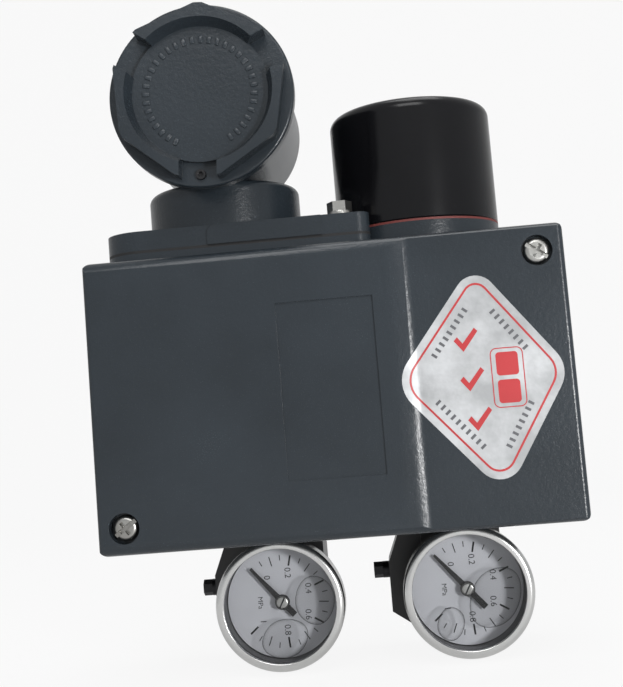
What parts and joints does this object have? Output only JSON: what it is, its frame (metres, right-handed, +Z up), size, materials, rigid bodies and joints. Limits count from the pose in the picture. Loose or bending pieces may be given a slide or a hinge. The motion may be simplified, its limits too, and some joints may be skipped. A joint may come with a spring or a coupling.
{
  "type": "valve positioner",
  "caption": "Box-shaped pneumatic valve positioner with a screwed terminal housing and round motor cap on top, and pressure gauges hanging below.",
  "frame": {"origin": "middle of the mounting bolt pattern on the back face of the base", "axes": "+Y out of the back face, +Z up, +X to the right seen from the front"},
  "size_m": [0.164, 0.117, 0.2403],
  "materials": {
    "case_paint": "satin grey-green paint on a casting",
    "cap_black": "satin black",
    "red_rubber": "matt red",
    "black_rubber": "matt",
    "nylon": "natural",
    "zinc": "zinc plated",
    "black_plastic": "moulded",
    "black_oxide": "black",
    "bare_alloy": "machined",
    "soft_iron": "machined",
    "magnet_alloy": "cast",
    "winding": "enamelled wire",
    "steel": "plain",
    "brass": "turned",
    "copper": "drawn tube",
    "gauge_black": "satin black",
    "stainless": "polished",
    "glass": "clear",
    "dial_white": "white enamel",
    "pointer_black": "black"
  },
  "bodies": {
    "housing": {"base_housing": "case_paint", "terminal_housing": "case_paint", "cap_gasket": "red_rubber", "cover_gasket": "black_rubber", "terminal_gasket": "black_rubber", "manifold_seals": "black_rubber", "relay_diaphragm": "black_rubber", "flange_bolts": "zinc", "terminal_screws": "zinc", "ground_screw": "zinc", "motor_screws": "zinc", "relay_screws": "zinc", "relay_bolts": "zinc", "manifold_screws": "zinc", "terminal_block": "black_plastic", "port_plug": "black_oxide", "bleed_plug": "black_oxide", "motor_base": "bare_alloy", "nozzle_block": "bare_alloy", "relay_body": "bare_alloy", "relay_cover": "bare_alloy", "pole_pieces": "soft_iron", "magnet": "magnet_alloy", "motor_coil": "winding", "pivot_pin": "steel", "zero_bracket": "steel", "zero_spring": "steel", "nozzle": "brass", "restrictor": "brass", "shaft_bushes": "brass", "gauge_stems": "brass", "bourdon_tubes": "brass", "nozzle_tube": "copper", "gauge_cases": "gauge_black", "supply_manifold": "gauge_black", "output_manifold": "gauge_black", "gauge_bezels": "stainless", "gauge_windows": "glass", "gauge_dials": "dial_white"},
    "cover": {"front_cover": "case_paint", "screw_retainers": "nylon"},
    "cover_screw_low": {"cover_screw_lower": "zinc"},
    "cover_screw_high": {"cover_screw_upper": "zinc"},
    "lid_ring": {"lid_seal": "black_rubber"},
    "lid": {"terminal_lid": "case_paint", "lid_lock_screw": "black_oxide"},
    "cap": {"motor_cap": "cap_black"},
    "armature_lever": {"armature": "soft_iron", "flapper": "steel", "feedback_spring": "steel"},
    "shaft": {"feedback_shaft": "steel", "shaft_circlip": "zinc", "span_arm": "steel"},
    "span_adjuster": {"span_screw": "brass"},
    "span_block": {"span_slider": "brass"},
    "zero_adjuster": {"zero_knob": "brass"},
    "mode_selector": {"mode_switch": "brass"},
    "supply_needle": {"supply_pointer": "pointer_black"},
    "output_needle": {"output_pointer": "pointer_black"}
  },
  "joints": [
    {"name": "cover_off", "type": "slide", "parent": "housing", "child": "cover", "axis": [0, -1, 0], "range_m": [0, 0.09]},
    {"name": "lower_screw_turn", "type": "hinge", "parent": "cover", "child": "cover_screw_low", "pos_m": [-0.0728, -0.09, -0.0408], "axis": [0, 1, 0], "continuous": true},
    {"name": "upper_screw_turn", "type": "hinge", "parent": "cover", "child": "cover_screw_high", "pos_m": [0.0728, -0.09, 0.0408], "axis": [0, 1, 0], "continuous": true},
    {"name": "lid_out", "type": "slide", "parent": "housing", "child": "lid_ring", "axis": [0, -1, 0], "range_m": [0, 0.012]},
    {"name": "lid_turn", "type": "hinge", "parent": "lid_ring", "child": "lid", "pos_m": [-0.0384, -0.08, 0.1091], "axis": [0, -1, 0], "range_deg": [0, 2160]},
    {"name": "cap_off", "type": "slide", "parent": "housing", "child": "cap", "axis": [0, 0, 1], "range_m": [0, 0.06]},
    {"name": "armature_tilt", "type": "hinge", "parent": "housing", "child": "armature_lever", "pos_m": [0.036, -0.0315, 0.0638], "axis": [0, 1, 0], "range_deg": [-0.7, 0.7], "stiffness_Nm_per_rad": 0.6, "deforming": ["feedback_spring", "zero_spring"]},
    {"name": "feedback_turn", "type": "hinge", "parent": "housing", "child": "shaft", "pos_m": [-0.02, 0, -0.022], "axis": [0, 1, 0], "range_deg": [-20, 20], "deforming": ["feedback_spring"]},
    {"name": "span_screw_turn", "type": "hinge", "parent": "shaft", "child": "span_adjuster", "pos_m": [-0.02, -0.053, 0.03], "axis": [0, 0, 1], "range_deg": [-2916, 2916], "deforming": ["feedback_spring"]},
    {"name": "span_slide", "type": "slide", "parent": "shaft", "child": "span_block", "axis": [0, 0, 1], "range_m": [-0.008, 0.008], "deforming": ["feedback_spring"]},
    {"name": "zero_turn", "type": "hinge", "parent": "housing", "child": "zero_adjuster", "pos_m": [0.056, -0.0315, -0.002], "axis": [1, 0, 0], "range_deg": [-720, 720]},
    {"name": "mode_turn", "type": "hinge", "parent": "housing", "child": "mode_selector", "pos_m": [-0.067, -0.038, 0.018], "axis": [0, 1, 0], "range_deg": [0, 90]},
    {"name": "supply_reading", "type": "hinge", "parent": "housing", "child": "supply_needle", "pos_m": [-0.026, -0.054, -0.0745], "axis": [0, 1, 0], "range_deg": [0, 270], "stiffness_Nm_per_rad": 0.0002},
    {"name": "output_reading", "type": "hinge", "parent": "housing", "child": "output_needle", "pos_m": [0.0415, -0.054, -0.0745], "axis": [0, 1, 0], "range_deg": [0, 270], "stiffness_Nm_per_rad": 0.0002}
  ],
  "couplings": [
    {"joint": "lid_out", "follows": "lid_turn", "m_per_rad": 0.00031831},
    {"joint": "span_screw_turn", "follows": "span_slide", "rad_per_m": 6283.2}
  ]
}
